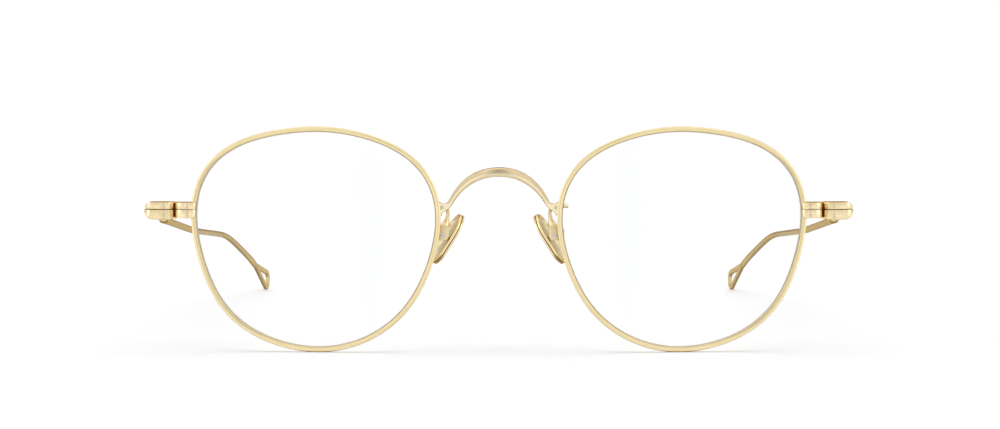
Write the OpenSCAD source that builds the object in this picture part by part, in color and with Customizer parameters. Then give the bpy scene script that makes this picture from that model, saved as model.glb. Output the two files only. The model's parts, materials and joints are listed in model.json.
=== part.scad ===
// Round metal eyeglasses. Wire rims hold the lenses and are closed by two-part
// end pieces, an arched bridge joins them, metal pads rest on the nose, and
// thin temples with looped tips fold on barrel hinges.
// +Z is up, the lenses face -Y and +X is the wearer's left. The floor is Z = 0:
// the open glasses stand on it on their rims and their tip loops.

/* [Front] */
// Width of the rim, edge to edge
eye_w = 48.6; // [40:0.2:58]
// Height of the rim, edge to edge
eye_h = 43.8; // [34:0.2:52]
// Narrowest gap between the two rims
rim_gap = 22.4; // [18:0.2:28]
// Radius of the lens's front curve
base_curve = 130; // [90:5:300]
// Backward turn of each lens towards its temple, in degrees
face_form = 3.5; // [0:0.5:8]

/* [Rims] */
// Width of the rim wire, seen from the front
rim_w = 0.95; // [0.7:0.05:1.4]
// Depth of the rim wire, front to back
rim_d = 1.6; // [1.3:0.1:2.4]
// Rounding of the rim wire's outer edges
rim_round = 0.28; // [0.1:0.02:0.35]
// Depth of the lens groove
groove_d = 0.4; // [0.2:0.05:0.5]
// Width of the lens groove at its mouth
groove_w = 1.0; // [0.6:0.1:1.2]
// Gap in the rim where the end piece closes it
rim_slit = 0.25; // [0.1:0.05:0.5]

/* [Lenses] */
// Thickness of a lens
lens_t = 1.5; // [1.2:0.1:3]
// Thickness of the bevel where it leaves the lens edge
bevel_t = 0.8; // [0.4:0.1:1]
// Gap between lens and groove
lens_play = 0.04; // [0.02:0.01:0.1]

/* [Bridge] */
// Height of the crown over the feet
bridge_rise = 6.9; // [4:0.1:10]
// Height of the bridge bar at the crown
crown_h = 1.85; // [1.2:0.05:2.6]
// Height of the bridge bar along its legs
leg_h = 1.25; // [0.9:0.05:1.8]
// Depth of the bridge bar, front to back
bridge_d = 1.4; // [1:0.1:1.6]
// Place of the feet on the rims, in degrees above the nearest point to the nose
foot_at = 15; // [5:1:30]
// Height of the flare where a foot meets its rim
foot_flare = 2.35; // [1.4:0.1:3.2]

/* [End pieces] */
// Height of the end piece's split over the lens centre
split_rise = 5.8; // [2:0.1:10]
// Width of the closing block
block_w = 3.8; // [3.2:0.1:5]
// Depth of the closing block
block_d = 4.2; // [3.4:0.1:5]
// How far the block stands in front of the rim
block_proud = 1.1; // [0.5:0.1:2]
// How far the block laps over the front of the rim
block_lap = 0.85; // [0.2:0.05:1]
// Height of the upper half
upper_h = 1.3; // [1.2:0.05:2.5]
// Height of the lower half of the closing block
lower_h = 1.65; // [1.2:0.05:2.5]
// Gap between the halves of the closing block
block_gap = 0.08; // [0.05:0.01:0.4]
// Shank radius of the closing screw
closing_r = 0.55; // [0.4:0.05:0.8]

/* [Hinges] */
// Radius of the hinge barrel
hinge_r = 2.3; // [2.2:0.1:3.5]
// Radius of the barrel's rounded outer end
barrel_end_r = 2; // [1.5:0.1:2.3]
// How far the barrel reaches outwards past its round
barrel_reach = 1.4; // [0:0.05:2]
// How much further out the temple's barrel reaches than the one above it
knuckle_reach = 0.15; // [0:0.05:0.4]
// Gap between closing block and temple barrel
crease = 0.15; // [0.1:0.01:0.5]
// Distance of the hinge pin behind the block's front face
hinge_back = 3.25; // [2.8:0.05:6]
// Height of the temple's barrel
knuckle_h = 1.9; // [1.4:0.1:3]
// Thickness of the hinge washer
washer_t = 0.12; // [0.1:0.01:0.5]
// Shank radius of the hinge screw
pin_r = 0.7; // [0.5:0.05:1]
// Radius of the hinge screw's domed head
dome_r = 1.12; // [0.9:0.02:1.4]
// Height of the hinge screw's domed head
dome_h = 0.88; // [0.6:0.02:0.9]
// Radial running clearance of the hinge screw
pin_play = 0.05; // [0.02:0.01:0.1]

/* [Temples] */
// Length of a temple from its barrel to the start of its bend
bend_at = 98.5; // [80:1:115]
// Length of wire from the start of the bend to the tip loop
drop_len = 31; // [20:1:40]
// Downward turn of the bend, in degrees
drop_angle = 14; // [5:1:40]
// Further downward turn along the drop, in degrees
drop_curl = 2.5; // [0:0.5:15]
// Inward lean of the straight temple, in degrees
toe_in = 1.8; // [0:0.1:4]
// Further inward turn behind the ear, in degrees
tuck = 10; // [0:1:20]
// Diameter of the temple wire
wire_dia = 1.25; // [1:0.05:1.8]
// Thickness of the flattened strap next to the hinge
strap_t = 0.9; // [0.7:0.05:1.3]
// Height of the flattened strap next to the hinge
strap_h = 1.3; // [1:0.05:1.4]
// Length of the flattened strap
strap_len = 44; // [10:1:60]
// How much more the strap slopes down than the wire behind it, in degrees
strap_dip = 1.5; // [0:0.1:3]
// Distance from the tip of the wire to the centre of the loop's round end
loop_len = 12.5; // [8:0.5:16]
// Radius of the loop's round end, at the middle of its strip
loop_r = 1.85; // [1.5:0.05:3]
// Thickness of the loop's strip
strip_t = 0.85; // [0.5:0.05:1.1]
// Width of the loop's strip
strip_w = 0.8; // [0.7:0.05:1.3]

/* [Nose pads] */
// Length of a pad
pad_len = 11; // [9:0.5:15]
// Width of a pad
pad_w = 6.4; // [5:0.2:8]
// Thickness of a pad at its edge
pad_t = 1.05; // [0.8:0.05:1.3]
// Lean of the pads towards each other at the top, in degrees
pad_lean = 30; // [20:1:35]
// Opening of the pads towards the face, in degrees
pad_splay = 14; // [5:1:18]
// Backward turn of the pads' lower ends, in degrees
pad_pitch = 8; // [0:1:12]
// Gap between the pads' top ends
pad_top_gap = 13.1; // [12:0.1:17]
// Diameter of the pad arm's wire
arm_dia = 0.7; // [0.6:0.05:0.9]
// Shank radius of the pad screw
pad_screw_r = 0.35; // [0.3:0.01:0.4]
// Running clearance round the pad screw and beside the pad's lug
pad_play = 0.05; // [0.03:0.01:0.1]
// Least gap between a pad and its box
pad_clear = 0.3; // [0.2:0.05:0.5]

/* [Hidden] */
$fn = 48;
RIGHT = -1;
LEFT = 1;

// The rim's outer edge as an optician traces it: radii at equal angles about the
// lens centre, starting towards the nose and going over the top.
trace = [23.4, 24.9, 23.0, 22.0, 23.7, 26.4, 24.6, 23.4, 22.4, 21.8, 21.9, 22.2];
trace_step = 360 / len(trace);
stations = 90;
flush = 0.02;

// ---- shared shapes ----

// Closed skin over rings of points, with fans over the first and last ring.
module skin(rings, loop = false) {
    n = len(rings);
    m = len(rings[0]);
    sides = [for (i = [0:n - (loop ? 1 : 2)], j = [0:m - 1])
        let (a = i * m + j, b = i * m + (j + 1) % m,
             c = ((i + 1) % n) * m + (j + 1) % m, d = ((i + 1) % n) * m + j)
        each [[a, b, c], [a, c, d]]];
    ends = loop ? [] : [for (j = [1:m - 2])
        each [[0, j + 1, j], [(n - 1) * m, (n - 1) * m + j, (n - 1) * m + j + 1]]];
    polyhedron(points = [for (r = rings) each r], faces = concat(sides, ends), convexity = 10);
}

// Puts a piece drawn for the wearer's left on its side, about the middle of the glasses.
module on_side(side) translate([0, -depth_middle, 0]) mirror([side == RIGHT ? 1 : 0, 0, 0]) children();

function unit(v) = v / norm(v);
function bezier(p, t) = pow(1 - t, 3) * p[0] + 3 * t * pow(1 - t, 2) * p[1]
    + 3 * t * t * (1 - t) * p[2] + pow(t, 3) * p[3];

// ---- lens outline and the curved front it lies on, for the wearer's left ----

// Smooth closed curve through the traced radii.
function bell(x) = abs(sin(x / 2)) < 0.001 ? 1 : sin(len(trace) * x / 2) / (len(trace) * tan(x / 2));
function trace_r(th) = trace * [for (j = [0:len(trace) - 1]) bell(th - j * trace_step)];
traced = [for (th = [0:3:357]) [-trace_r(th) * cos(th), trace_r(th) * sin(th)]];
scale_x = eye_w / (max([for (p = traced) p.x]) - min([for (p = traced) p.x]));
scale_z = eye_h / (max([for (p = traced) p.y]) - min([for (p = traced) p.y]));
function on_curve(x, z, r = base_curve) = [x, base_curve - sqrt(r * r - x * x - z * z), z];
function edge(th) = on_curve(-scale_x * trace_r(th) * cos(th), scale_z * trace_r(th) * sin(th));
function inwards(p) = ([0, base_curve, 0] - p) / base_curve;
function outwards(th) = cross(unit(edge(th + 1) - edge(th - 1)), inwards(edge(th)));
// A point at distance u outside the rim's edge and w behind its front face.
function off_edge(th, u, w) = edge(th) + u * outwards(th) + w * inwards(edge(th));
function turned(p) = [p.x * cos(face_form) - p.y * sin(face_form),
                      p.x * sin(face_form) + p.y * cos(face_form), p.z];
lens_x = rim_gap / 2 - min([for (th = [-40:2:40]) turned(edge(th)).x]);
lens_z = -min([for (th = [200:2:340]) edge(th).z]);
function seated(p) = turned(p) + [lens_x, 0, lens_z];
function rim_point(th, u, w) = seated(off_edge(th, u, w));

// ---- rims ----

slit_guess = 180 - asin(split_rise / (scale_z * trace_r(166)));
slit_at = 180 - asin(split_rise / (scale_z * trace_r(slit_guess)));
slit_half = rim_slit / 2 / trace_r(slit_at) * 180 / PI;
inner_round = rim_round / 2;
// Section of the rim wire from the bottom of its groove: across and front to back.
rim_section = [
    [groove_d - rim_w, rim_d / 2],
    [-rim_w, (rim_d + groove_w) / 2],
    [-rim_w, rim_d - inner_round],
    [inner_round - rim_w, rim_d],
    [-rim_round, rim_d],
    [-rim_round * 0.3, rim_d - rim_round * 0.3],
    [0, rim_d - rim_round],
    [0, rim_round],
    [-rim_round * 0.3, rim_round * 0.3],
    [-rim_round, 0],
    [inner_round - rim_w, 0],
    [-rim_w, inner_round],
    [-rim_w, (rim_d - groove_w) / 2]];

module rim(side) on_side(side) color("gold")
    skin([for (i = [0:stations])
        let (th = slit_at + slit_half + (360 - 2 * slit_half) * i / stations)
        [for (q = rim_section) rim_point(th, q.x, q.y)]]);

// ---- lenses ----

lens_in = -rim_w - lens_play;
bevel_tip = groove_d - rim_w - lens_play;
lens_rings = 3;
// A ring of the lens's face at a share of its edge, on the curve of radius r.
function lens_face(share, w, r) = [for (i = [0:stations - 1])
    let (p = share * off_edge(i * 360 / stations, lens_in, w)) seated(on_curve(p.x, p.z, r))];
function lens_side(u, w) = [for (i = [0:stations - 1]) rim_point(i * 360 / stations, u, w)];

module lens(side) {
    front_w = (rim_d - lens_t) / 2;
    back_w = (rim_d + lens_t) / 2;
    on_side(side) color("azure", 0.25) skin(concat(
        [for (k = [0:lens_rings]) lens_face(max(0.01, k / lens_rings), front_w, base_curve - front_w)],
        [lens_side(lens_in, (rim_d - bevel_t) / 2), lens_side(bevel_tip, rim_d / 2),
         lens_side(lens_in, (rim_d + bevel_t) / 2)],
        [for (k = [0:lens_rings])
            lens_face(max(0.01, 1 - k / lens_rings), back_w, base_curve - back_w)]));
}

// ---- bridge ----

foot = rim_point(foot_at, -0.1, rim_d / 2);
crown = [0, foot.y - 0.3, foot.z + bridge_rise];
knee = [foot.x - 2.3, foot.y, foot.z + 1.15];
knee_turn = [0.48, 0, -0.88];
bridge_steps = 14;
// Half of the bridge's line: s is 0 at the crown, 1 at the knee and 2 at the foot.
function bridge_line(s) = s < 1
    ? bezier([crown, crown + [knee.x / 2, 0, 0], knee - 3.6 * knee_turn, knee], s)
    : bezier([knee, knee + 0.95 * knee_turn, foot - [1, 0, 0.1], foot], s - 1);
function bridge_at(s) = s < 0 ? [-bridge_line(-s).x, bridge_line(-s).y, bridge_line(-s).z] : bridge_line(s);
function bar_h(s) = lookup(abs(s), [[0, crown_h], [0.4, crown_h * 0.93], [1, leg_h], [1.55, leg_h],
                                    [1.8, leg_h * 0.6 + foot_flare * 0.4], [2, foot_flare]]);
// Section of the bar: upward and front to back, with a ridge low on its front.
bar_section = [[0.5, 0.1], [0.44, -0.26], [-0.18, -0.5], [-0.42, -0.34], [-0.5, -0.05],
               [-0.44, 0.3], [-0.2, 0.5], [0.25, 0.5], [0.45, 0.35]];

module bridge() translate([0, -depth_middle, 0]) color("gold")
    skin([for (i = [-2 * bridge_steps:2 * bridge_steps])
        let (s = i / bridge_steps,
             along = unit(bridge_at(min(s + 0.02, 2)) - bridge_at(max(s - 0.02, -2))),
             up = unit(cross(along, [0, 1, 0])))
        [for (q = bar_section) bridge_at(s) + bar_h(s) * q.x * up + [0, bridge_d * q.y, 0]]]);

// ---- end pieces: closing block next to the rim, hinge barrel outside it ----

slit = rim_point(slit_at, 0, 0);
block_in = slit.x - block_lap;
block_out = block_in + block_w;
block_front = slit.y - block_proud;
block_curve = 2.6;
block_centre = block_in + 1.6;
pin = [block_out + crease + hinge_r, block_front + hinge_back];
upper_z = slit.z + block_gap / 2;
lower_z = slit.z - block_gap / 2;
barrel_top = upper_z - washer_t - flush;
closing = [block_out - 1.7, block_front + 2.1];
closing_head_r = closing_r + 0.35;
closing_head_t = 0.5;
thread_bite = 0.02;

// Plan of the closing block: a bar with a bowed front, notched for the rim behind its lap.
module block_plan() difference() {
    intersection() {
        translate([block_in, block_front]) square([block_w, block_d]);
        union() {
            translate([block_centre, block_front + block_curve]) circle(block_curve);
            translate([block_in, block_front + block_curve]) square([block_w, block_d]);
        }
    }
    translate([block_in - 1, slit.y + 0.02]) square([1 + block_lap - 0.03, block_d + 1]);
}

// Plan of a hinge barrel: round about the pin, drawn out to a smaller round end.
module barrel_plan(reach) {
    out = [pin.x + reach + hinge_r - barrel_end_r, pin.y + 0.2];
    run = norm(out - pin);
    lean = atan2(out.y - pin.y, out.x - pin.x);
    open = acos((hinge_r - barrel_end_r) / run);
    translate(pin) circle(hinge_r);
    translate(out) circle(barrel_end_r);
    // Sides between the rounds, set in a little so that they cross them.
    function turned_to(k) = [cos(lean + k * open), sin(lean + k * open)];
    polygon([for (k = [1, -1]) pin + (hinge_r - flush) * turned_to(k),
             for (k = [-1, 1]) out + (barrel_end_r - flush) * turned_to(k)]);
}

// Front view of a piece from x0 to x1 and z0 to z1, with one rounded corner at its outer side.
module rounded_view(x0, x1, z0, z1, r, at_top) {
    zc = at_top ? z1 - r : z0 + r;
    translate([0, block_front + block_d + 2 * hinge_r, 0]) rotate([90, 0, 0])
        linear_extrude(block_d + 3 * hinge_r) {
            translate([x0, z0]) square([x1 - x0 - r, z1 - z0]);
            translate([x0, at_top ? z0 : z0 + r]) square([x1 - x0, z1 - z0 - r]);
            translate([x1 - r, zc]) circle(r);
        }
}

// Outer end of a barrel, with a small flat on its round.
function barrel_out(reach) = pin.x + reach + hinge_r - 0.05;
// How far the neck between block and barrel stands back from the block's front.
neck_in = 2.8;
upper_round = 1.15;
knuckle_round = 1.7;
block_round = 0.7;

module upper_end_piece(side) on_side(side) color("goldenrod") difference() {
    intersection() {
        translate([0, 0, upper_z]) linear_extrude(upper_h + 1) {
            block_plan();
            barrel_plan(barrel_reach);
            translate([block_out - 0.6, block_front + neck_in])
                square([crease + 1.2, block_d - neck_in]);
        }
        rounded_view(block_in - 1, barrel_out(barrel_reach), upper_z - 1, upper_z + upper_h,
                     upper_round, true);
    }
    translate([pin.x, pin.y, upper_z - 1]) cylinder(r = pin_r - thread_bite, h = upper_h + 0.6);
    translate([closing.x, closing.y, upper_z - 1]) cylinder(r = closing_r - thread_bite, h = upper_h + 0.6);
}

module lower_closing_block(side) on_side(side) color("goldenrod") difference() {
    intersection() {
        translate([0, 0, lower_z - lower_h - 1]) linear_extrude(lower_h + 1) block_plan();
        mirror_view();
    }
    translate([closing.x, closing.y, lower_z - lower_h - 1])
        cylinder(r = closing_r + pin_play, h = lower_h + 2);
    translate([closing.x, closing.y, lower_z - lower_h - 1])
        cylinder(r = closing_head_r + pin_play, h = 1 + closing_head_t);
}

// Front view of the lower closing block, with its corner next to the rim rounded.
module mirror_view() translate([block_in + block_out, 0, 0]) mirror([1, 0, 0])
    rounded_view(block_in - 1, block_out, lower_z - lower_h, lower_z + 1, block_round, false);

module closing_screw(side) on_side(side) color("silver")
    translate([closing.x, closing.y, lower_z - lower_h]) difference() {
        union() {
            cylinder(r = closing_head_r, h = closing_head_t);
            cylinder(r = closing_r, h = lower_h + block_gap + upper_h - 0.4);
        }
        translate([-closing_head_r, -0.12, -1]) cube([2 * closing_head_r, 0.24, 1.2]);
    }

// ---- hinges ----

knuckle_z = barrel_top - knuckle_h;
dome_curve = (dome_r * dome_r + dome_h * dome_h) / (2 * dome_h);

module temple_barrel(side) on_side(side) color("goldenrod") difference() {
    intersection() {
        translate([0, 0, knuckle_z - 1]) linear_extrude(knuckle_h + 1)
            barrel_plan(barrel_reach + knuckle_reach);
        rounded_view(block_out, barrel_out(barrel_reach + knuckle_reach), knuckle_z,
                     barrel_top + 1, knuckle_round, false);
    }
    translate([pin.x, pin.y, knuckle_z - 1]) cylinder(r = pin_r + pin_play, h = knuckle_h + 2);
}

module hinge_washer(side) on_side(side) color("dimgray")
    translate([pin.x, pin.y, upper_z - washer_t]) difference() {
        cylinder(r = hinge_r - 0.45, h = washer_t);
        translate([0, 0, -1]) cylinder(r = pin_r + pin_play, h = washer_t + 2);
    }

module hinge_screw(side) on_side(side) color("khaki")
    translate([pin.x, pin.y, knuckle_z - flush]) difference() {
        union() {
            intersection() {
                translate([0, 0, dome_curve - dome_h]) sphere(dome_curve);
                translate([0, 0, -2 * dome_r]) cylinder(r = 2 * dome_r, h = 2 * dome_r);
            }
            cylinder(r = pin_r, h = upper_z + upper_h - knuckle_z - 0.45);
        }
        translate([-2 * dome_r, -0.14, -dome_h - 0.7]) cube([4 * dome_r, 0.28, 1]);
    }

// ---- temples, drawn level from the end of the strap and tipped onto the floor ----

wire_len = bend_at + drop_len;
bend_len = 12;
function yaw(s) = toe_in + lookup(s, [[bend_at - 3, 0], [bend_at + 6, tuck],
                                     [wire_len - 8, tuck], [wire_len, 0.75 * tuck]]);
function dip(s) = lookup(s, [[strap_len, strap_dip], [strap_len + 6, 0], [bend_at, 0],
                             [bend_at + bend_len, drop_angle], [wire_len, drop_angle + drop_curl]]);
function heading(s) = [-sin(yaw(s)) * cos(dip(s)), cos(yaw(s)) * cos(dip(s)), -sin(dip(s))];
stops = concat([0, 2, strap_len - 8, strap_len, strap_len + 6, bend_at - 20],
               [for (k = [0:20]) bend_at - 4 + k * (drop_len + 4) / 20]);
wire_line = [for (i = 0, p = [0, 0, 0]; i < len(stops);
                  p = p + (i + 1 < len(stops) ? stops[i + 1] - stops[i] : 0)
                      * heading((stops[i] + stops[min(i + 1, len(stops) - 1)]) / 2),
                  i = i + 1) p];
wire_end = wire_line[len(stops) - 1];
strap_start = [pin.x, pin.y + dome_r + 0.2, knuckle_z - strap_h / 2 + 0.33];
// Tilt that lowers the tip loops onto the floor.
loop_low = loop_r + strip_t / 2;
loop_centre = wire_end + loop_len * heading(wire_len);
tilt = asin((strap_start.z - loop_low) / norm([loop_centre.y, loop_centre.z]))
    - atan2(-loop_centre.z, loop_centre.y);
depth = strap_start.y + loop_centre.y * cos(tilt) + loop_centre.z * sin(tilt) + loop_low;
depth_middle = depth / 2;

module at_strap(side) on_side(side) translate(strap_start) rotate([-tilt, 0, 0]) children();

function wire_wide(s) = lookup(s, [[0, strap_t], [strap_len, strap_t], [strap_len + 6, wire_dia],
                                   [bend_at + 6, wire_dia], [wire_len, strip_w]]);
function wire_high(s) = lookup(s, [[0, strap_h], [strap_len, strap_h], [strap_len + 6, wire_dia],
                                   [bend_at + 6, wire_dia], [wire_len, 2 * strip_t]]);
function squareness(s) = lookup(s, [[strap_len, 0.45], [strap_len + 6, 1], [wire_len - 6, 1],
                                    [wire_len, 0.7]]);
function bulge(c, e) = sign(c) * pow(abs(c), e);

module temple(side) at_strap(side) color("gold")
    skin([for (i = [0:len(stops) - 1])
        let (s = stops[i], across = [cos(yaw(s)), sin(yaw(s)), 0], up = cross(across, heading(s)),
             e = squareness(s))
        [for (a = [15:30:345]) wire_line[i] + wire_wide(s) / 2 * bulge(cos(a), e) * across
            + wire_high(s) / 2 * bulge(sin(a), e) * up]]);

// Outline of the teardrop loop, grown by g from the middle of its strip.
module teardrop(g) {
    lean = asin(loop_r / loop_len);
    translate([loop_len, 0]) circle(loop_r + g);
    r = loop_r + g - flush;
    polygon([[-g / sin(lean), 0], [loop_len - r * sin(lean), -r * cos(lean)],
             [loop_len - r * sin(lean), r * cos(lean)]]);
}

module tip_loop(side) at_strap(side) color("gold")
    translate(wire_end) rotate([0, 0, yaw(wire_len)]) rotate([-dip(wire_len), 0, 0])
        rotate([90, 0, 90]) translate([0, 0, -strip_w / 2]) linear_extrude(strip_w) difference() {
            intersection() {
                teardrop(strip_t / 2);
                translate([-0.6, -2 * loop_low]) square([loop_len + 2 * loop_low, 4 * loop_low]);
            }
            teardrop(-strip_t / 2);
        }

// ---- nose pads, their arms and boxes ----

pad_middle_z = lens_z - 0.5;
pad_axis = [sin(pad_lean), 0, -cos(pad_lean)];
pad_front_y = 3;
// Middle of the pad: half its length down from its top end, half its width behind its front.
pad_centre = [pad_top_gap / 2 + pad_len / 2 * pad_axis.x, pad_front_y, pad_middle_z]
    + pad_w / 2 * [sin(pad_splay) * cos(pad_lean), cos(pad_splay), sin(pad_splay) * sin(pad_lean)];
pivot = [pad_centre.x + 1.1, pad_front_y + 1, pad_centre.z + 0.95];
lug_t = 0.7;
box_wall = 0.6;
box_front = pivot.y - lug_t / 2 - pad_play - box_wall;
box_depth = lug_t + 2 * pad_play + 2 * box_wall;
box_in = pivot.x - 1.45;
box_out = pivot.x + 0.9;
box_low = pivot.z - 0.95;
box_high = pivot.z + 1.85;
plate_t = 0.42;
seam_t = 0.14;
tray_floor = 0.12;
tray_border = 0.6;

// Stands a pad, drawn upright with its back to +X, in its place.
module at_pad() translate(pad_centre) rotate([0, -pad_lean, 0]) rotate([0, 0, -pad_splay])
    rotate([pad_pitch, 0, 0]) children();

// Outline of the pad, drawn in by g, laid in the YZ plane and thickened from x0 by t.
module pad_layer(g, x0, t) translate([x0, 0, 0]) rotate([90, 0, 90]) linear_extrude(t) {
    translate([g - pad_w / 2, (pad_w - pad_len) / 2]) square([pad_w - 2 * g, pad_len - pad_w]);
    for (k = [-1, 1]) translate([0, k * (pad_len - pad_w) / 2]) circle(pad_w / 2 - g);
}

module nose_pad(side) on_side(side) color("khaki") at_pad() difference() {
    union() {
        pad_layer(0, -pad_t / 2, plate_t);
        pad_layer(0.12, -pad_t / 2, pad_t);
        pad_layer(0, -pad_t / 2 + plate_t + seam_t, pad_t - plate_t - seam_t);
    }
    pad_layer(tray_border, pad_t / 2 - pad_t + plate_t + tray_floor, pad_t);
}

// The pad's lug: a stem from the floor of the tray to an eye on the pad screw.
module pad_lug(side) on_side(side) color("khaki") translate(pivot) difference() {
    union() {
        rotate([90, 0, 0]) cylinder(r = pad_screw_r + 0.38, h = lug_t, center = true);
        rotate([0, -pad_lean, 0]) translate([lug_reach, -lug_t / 2, -0.55])
            cube([-lug_reach, lug_t, 1.1]);
    }
    rotate([90, 0, 0]) cylinder(r = pad_screw_r + pad_play, h = 2 * lug_t, center = true);
}
// Distance from the pad screw to the tray's floor, square to the pad.
to_plate = (pad_centre - pivot) * [cos(pad_lean), 0, sin(pad_lean)]
    - (pad_centre.y - pivot.y) * tan(pad_splay);
lug_reach = to_plate - pad_t / 2 + plate_t + tray_floor - 0.12;

module pad_box(side) {
    boss_r = 0.72;
    boss = side == LEFT ? 0.75 : 0.3;
    on_side(side) color("goldenrod") difference() {
        union() {
            translate([box_in, box_front, box_low])
                cube([box_out - box_in, box_depth, box_high - box_low]);
            translate([box_out - 0.4, pivot.y, pivot.z + 0.45]) rotate([0, 90, 0])
                cylinder(r = boss_r, h = boss + 0.4);
        }
        // Slot for the lug, open to the pad and below.
        translate([box_in - 1, pivot.y - lug_t / 2 - pad_play, box_low - 1])
            cube([pivot.x - box_in + 1 + pad_screw_r + 0.46, lug_t + 2 * pad_play, 1 + 1.75]);
        // Face of the box next to the pad, parallel to it.
        at_pad() translate([pad_t / 2 + pad_clear - 10, -pad_w, -pad_len])
            cube([10, 2 * pad_w, 2 * pad_len]);
        translate([pivot.x, box_front - 1, pivot.z]) rotate([-90, 0, 0])
            cylinder(r = pad_screw_r + pad_play, h = 1 + box_wall + 0.1);
        translate([pivot.x, pivot.y, pivot.z]) rotate([-90, 0, 0])
            cylinder(r = pad_screw_r - thread_bite, h = box_depth);
    }
}

module pad_screw(side) on_side(side) color("silver") translate([pivot.x, box_front, pivot.z])
    rotate([-90, 0, 0]) difference() {
        union() {
            translate([0, 0, -0.25]) cylinder(r = pad_screw_r + 0.12, h = 0.25);
            translate([0, 0, -0.25]) cylinder(r = pad_screw_r, h = box_depth + 0.25);
        }
        translate([-1, -0.06, -0.4]) cube([2, 0.12, 0.25]);
    }

arm_steps = 18;
module pad_arm(side) {
    stub = side == LEFT ? 1.4 : 0.4;
    on_rim = rim_point(foot_at + 1, -rim_w / 2, rim_d + arm_dia / 2 - 0.06);
    into_box = [box_in + 0.75, pivot.y, box_high - 0.1];
    line = concat([on_rim + [stub, 0, 0]], [for (i = [0:arm_steps])
        bezier([on_rim, on_rim + [-2.6, 0.6, 0.2], into_box + [-0.7, 1.6, 2.6], into_box],
               i / arm_steps)]);
    last = len(line) - 1;
    on_side(side) color("gold") skin([for (i = [0:last])
        let (along = unit(line[min(i + 1, last)] - line[max(i - 1, 0)]),
             across = unit(cross(along, [0.2, 1, 0.3])), up = cross(along, across))
        [for (a = [0:45:315]) line[i] + arm_dia / 2 * (cos(a) * across + sin(a) * up)]]);
}

rim(RIGHT);  // rim_right
rim(LEFT);  // rim_left
lens(RIGHT);  // lens_right
lens(LEFT);  // lens_left
bridge();
upper_end_piece(RIGHT);  // upper_end_piece_right
upper_end_piece(LEFT);  // upper_end_piece_left
lower_closing_block(RIGHT);  // lower_closing_block_right
lower_closing_block(LEFT);  // lower_closing_block_left
closing_screw(RIGHT);  // closing_screw_right
closing_screw(LEFT);  // closing_screw_left
hinge_screw(RIGHT);  // hinge_screw_right
hinge_screw(LEFT);  // hinge_screw_left
hinge_washer(RIGHT);  // hinge_washer_right
hinge_washer(LEFT);  // hinge_washer_left
temple_barrel(RIGHT);  // temple_barrel_right
temple_barrel(LEFT);  // temple_barrel_left
temple(RIGHT);  // temple_right
temple(LEFT);  // temple_left
tip_loop(RIGHT);  // tip_loop_right
tip_loop(LEFT);  // tip_loop_left
pad_arm(RIGHT);  // pad_arm_right
pad_arm(LEFT);  // pad_arm_left
pad_box(RIGHT);  // pad_box_right
pad_box(LEFT);  // pad_box_left
pad_screw(RIGHT);  // pad_screw_right
pad_screw(LEFT);  // pad_screw_left
pad_lug(RIGHT);  // pad_lug_right
pad_lug(LEFT);  // pad_lug_left
nose_pad(RIGHT);  // nose_pad_right
nose_pad(LEFT);  // nose_pad_left
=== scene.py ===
import json
import math

import bmesh
import bpy
import numpy as np
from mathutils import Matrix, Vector

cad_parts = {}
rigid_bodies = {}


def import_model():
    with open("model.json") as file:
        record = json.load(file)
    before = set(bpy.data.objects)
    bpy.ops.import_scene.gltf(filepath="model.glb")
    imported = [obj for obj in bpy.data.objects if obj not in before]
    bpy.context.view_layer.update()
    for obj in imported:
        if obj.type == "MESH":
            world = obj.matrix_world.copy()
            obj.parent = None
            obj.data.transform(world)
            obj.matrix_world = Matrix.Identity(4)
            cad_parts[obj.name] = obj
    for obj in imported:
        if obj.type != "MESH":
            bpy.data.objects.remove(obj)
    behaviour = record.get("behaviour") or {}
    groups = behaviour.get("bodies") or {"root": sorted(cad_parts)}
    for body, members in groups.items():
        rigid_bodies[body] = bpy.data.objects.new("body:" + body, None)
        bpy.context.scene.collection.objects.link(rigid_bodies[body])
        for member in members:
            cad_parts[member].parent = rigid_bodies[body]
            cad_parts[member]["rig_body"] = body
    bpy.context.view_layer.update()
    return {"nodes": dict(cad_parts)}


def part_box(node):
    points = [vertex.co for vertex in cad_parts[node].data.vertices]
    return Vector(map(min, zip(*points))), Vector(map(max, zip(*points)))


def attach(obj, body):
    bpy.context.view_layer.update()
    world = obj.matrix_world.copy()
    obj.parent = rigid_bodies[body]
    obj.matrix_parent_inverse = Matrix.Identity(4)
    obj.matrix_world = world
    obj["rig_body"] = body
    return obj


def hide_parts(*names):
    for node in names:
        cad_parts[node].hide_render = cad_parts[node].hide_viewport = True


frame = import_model()

# ---- Rims ----
# Each rim is a drawn wire with a rounded front crest, a sloping inner face and
# a groove for the lens. It is bent round the lens outline, open only at the
# end piece that closes it, plated in pale gold and brushed along its length.

# Shapes are worked out in millimetres for the wearer's left, which is at +X.
MM = 0.001
SIDES = {"right": -1, "left": 1}
# Radii of the lens outline at even steps from the nose over the top.
outline_radii = [23.4, 24.9, 23.0, 22.0, 23.7, 26.4, 24.6, 23.4, 22.4, 21.8, 21.9, 22.2]
outline_stretch = 0.994526
# The front of each eye follows a sphere of this radius, turned towards the side of the face.
front_curve = 130
face_turn = math.radians(3.5)
eye_centre = np.array([34.9534, -74.1396, 21.8])
front_face = eye_centre[1]
# Degrees from the nose over the top to the rim's open ends, and half of their gap.
opening_middle = 166.968
opening_half = 0.2784
# Across the wire from its outer edge, and back from its front; then how far
# each corner is rounded.
rim_section = [(-0.55, 0.8), (-0.95, 1.3), (-0.95, 1.6), (0, 1.6), (0, 0.14), (-0.13, 0.02),
               (-0.42, 0.0), (-0.95, 0.19), (-0.95, 0.3)]
rim_corner = [0, 0, 0.14, 0.3, 0.1, 0.1, 0.16, 0.1, 0]


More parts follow.
